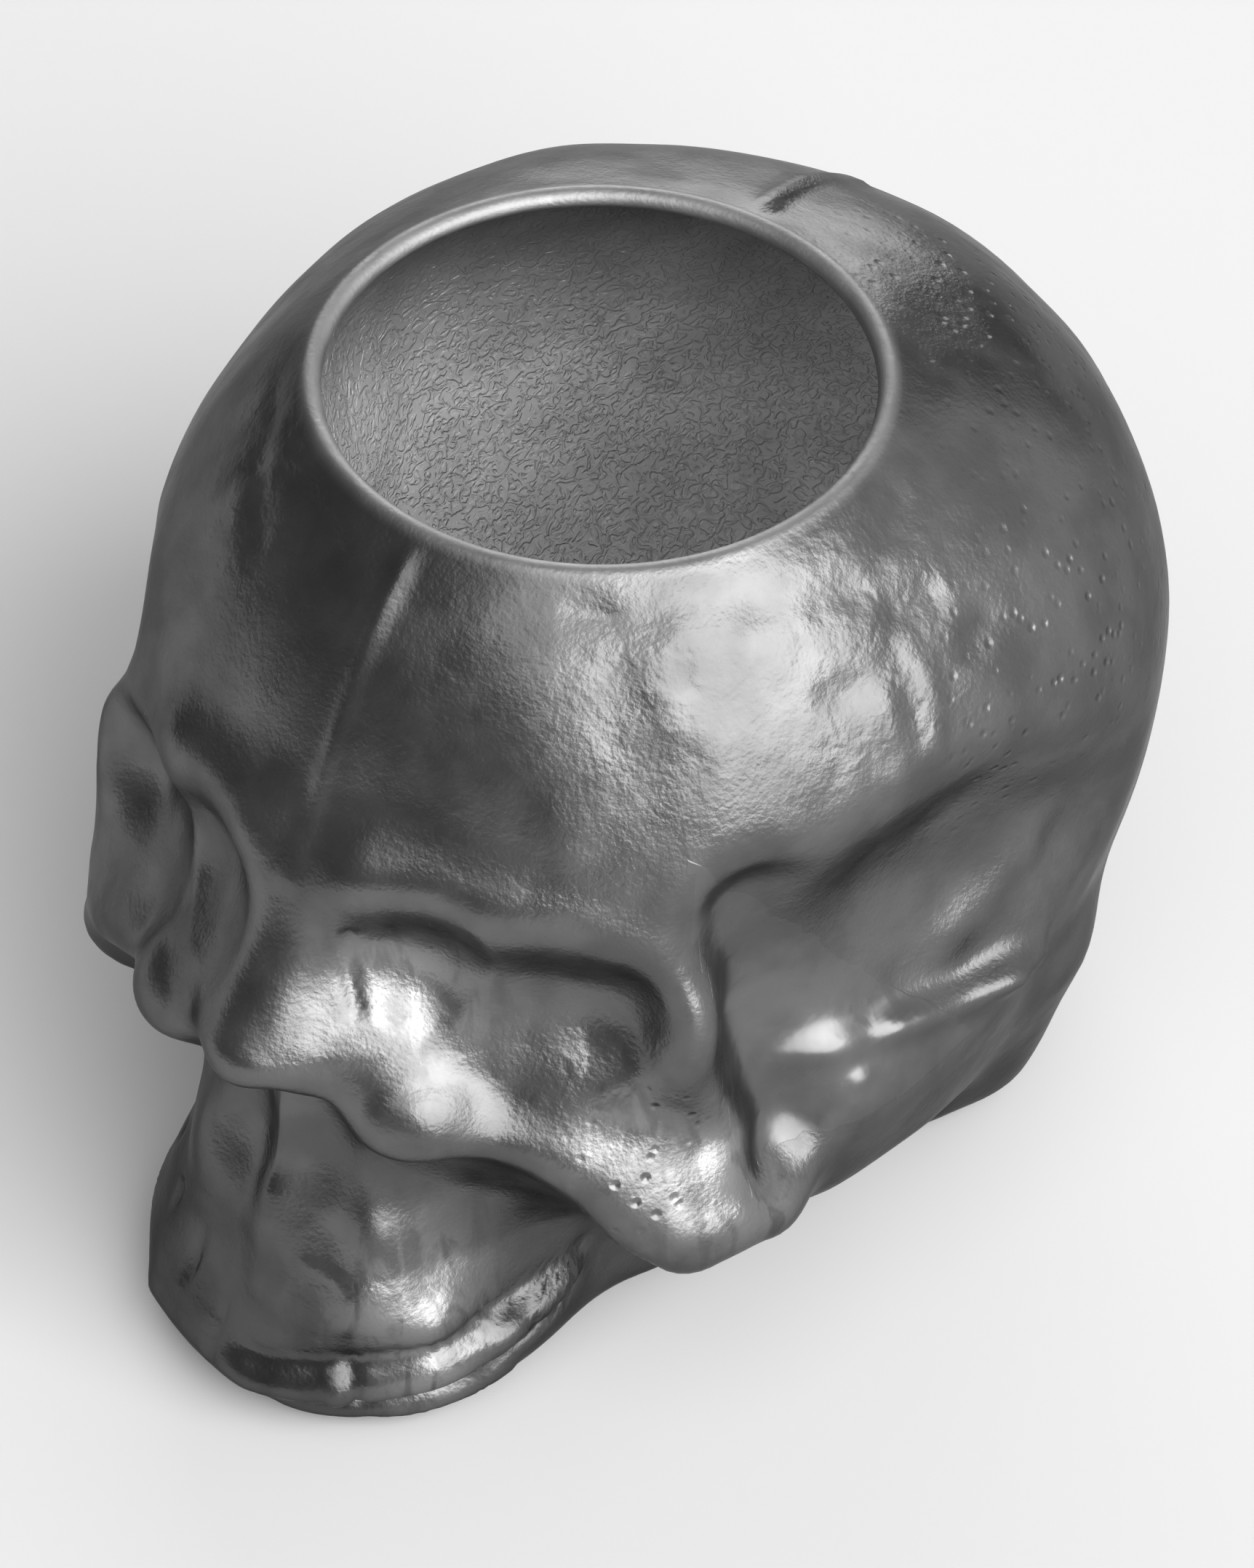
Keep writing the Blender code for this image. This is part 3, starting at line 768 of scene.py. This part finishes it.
def glaze():
    """Silver-grey metallic glaze over a cast body, duller inside."""
    nodes = Nodes(bpy.data.materials.new("silver_glaze"))
    inside = nodes.value("inside")
    ragged = nodes.span(nodes.noise(POOL_WAVES), 0.0, 1.0, -POOL_RAGGED, POOL_RAGGED)
    pooled = nodes.span(nodes.plus(nodes.value("pool"), ragged), -POOL_SOFT, POOL_SOFT, 0.0, 1.0)
    bump = nodes.tree.nodes.new("ShaderNodeBump")
    nodes.set(bump, "Distance", 1.0)
    nodes.set(bump, "Strength", 1.0)
    nodes.set(bump, "Height", glaze_height(nodes, inside, pooled))
    nodes.set(nodes.shader, "Normal", bump.outputs["Normal"])
    nodes.set(nodes.shader, "Base Color", nodes.grey(glaze_grey(nodes, inside, pooled)))
    nodes.set(nodes.shader, "Metallic", nodes.span(inside, 0.0, 1.0, GLAZE_METALLIC, INSIDE_METALLIC))
    nodes.set(nodes.shader, "Roughness", glaze_roughness(nodes, inside, pooled))
    nodes.shader.inputs["Specular Tint"].default_value = GLAZE_TINT
    return nodes.material


def link(thing):
    """Puts an object into the scene."""
    bpy.context.scene.collection.objects.link(thing)
    return thing


def add_casting():
    """The glazed skull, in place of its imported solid."""
    skull = link(bpy.data.objects.new("glazed_skull", casting_mesh("glazed_skull")))
    skull.data.materials.append(glaze())
    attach(skull, "root")
    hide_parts("skull_shell")


def add_floor():
    """Pale floor that takes the shadow."""
    half = FLOOR_SIZE / 2
    mesh = bpy.data.meshes.new("floor")
    corners = [(-half, -half, 0), (half, -half, 0), (half, half, 0), (-half, half, 0)]
    mesh.from_pydata(corners, [], [(0, 1, 2, 3)])
    floor = link(bpy.data.objects.new("floor", mesh))
    material = bpy.data.materials.new("pale_floor")
    material.use_nodes = True
    shader = material.node_tree.nodes["Principled BSDF"]
    shader.inputs["Base Color"].default_value = (FLOOR_GREY, FLOOR_GREY, FLOOR_GREY, 1.0)
    shader.inputs["Roughness"].default_value = FLOOR_ROUGHNESS
    mesh.materials.append(material)


def add_camera():
    """The camera of the photograph."""
    level_share = math.cos(CAMERA_ELEVATION)
    across = math.sin(CAMERA_AZIMUTH) * level_share
    forward = -math.cos(CAMERA_AZIMUTH) * level_share
    back = Vector((across, forward, math.sin(CAMERA_ELEVATION)))
    level = Vector((math.cos(CAMERA_AZIMUTH), math.sin(CAMERA_AZIMUTH), 0.0))
    steep = back.cross(level)
    right = level * math.cos(CAMERA_ROLL) + steep * math.sin(CAMERA_ROLL)
    up = steep * math.cos(CAMERA_ROLL) - level * math.sin(CAMERA_ROLL)
    data = bpy.data.cameras.new("camera")
    data.sensor_fit = "HORIZONTAL"
    data.sensor_width = SENSOR
    data.lens = LENS
    camera = link(bpy.data.objects.new("camera", data))
    turn = Matrix((right, up, back)).transposed().to_4x4()
    camera.matrix_world = Matrix.Translation(Vector(TARGET) + back * CAMERA_DISTANCE) @ turn
    bpy.context.scene.camera = camera


def add_sun(name, direction, angle, strength):
    """A broad soft lamp, as bright over the whole floor."""
    data = bpy.data.lights.new(name, "SUN")
    data.energy = strength
    data.angle = angle
    lamp = link(bpy.data.objects.new(name, data))
    lamp.rotation_euler = Vector(direction).to_track_quat("Z", "Y").to_euler()


def add_world():
    """Plain grey surroundings."""
    world = bpy.data.worlds.new("studio")
    world.use_nodes = True
    bpy.context.scene.world = world
    background = world.node_tree.nodes["Background"]
    background.inputs["Color"].default_value = (1.0, 1.0, 1.0, 1.0)
    background.inputs["Strength"].default_value = WORLD_GREY


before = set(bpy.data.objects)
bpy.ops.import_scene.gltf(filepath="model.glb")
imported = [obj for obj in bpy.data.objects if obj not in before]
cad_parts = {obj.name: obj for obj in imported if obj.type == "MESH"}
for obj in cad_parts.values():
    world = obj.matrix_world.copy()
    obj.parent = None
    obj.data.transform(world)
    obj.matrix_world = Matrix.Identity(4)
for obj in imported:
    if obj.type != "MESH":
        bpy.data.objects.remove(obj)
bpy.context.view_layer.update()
add_casting()
add_floor()
add_camera()
add_sun("key", KEY_DIRECTION, KEY_ANGLE, KEY_STRENGTH)
add_sun("side", SIDE_DIRECTION, SIDE_ANGLE, SIDE_STRENGTH)
add_sun("top", TOP_DIRECTION, TOP_ANGLE, TOP_STRENGTH)
add_sun("back", BACK_DIRECTION, BACK_ANGLE, BACK_STRENGTH)
add_world()
bpy.context.scene.view_settings.view_transform = "Standard"
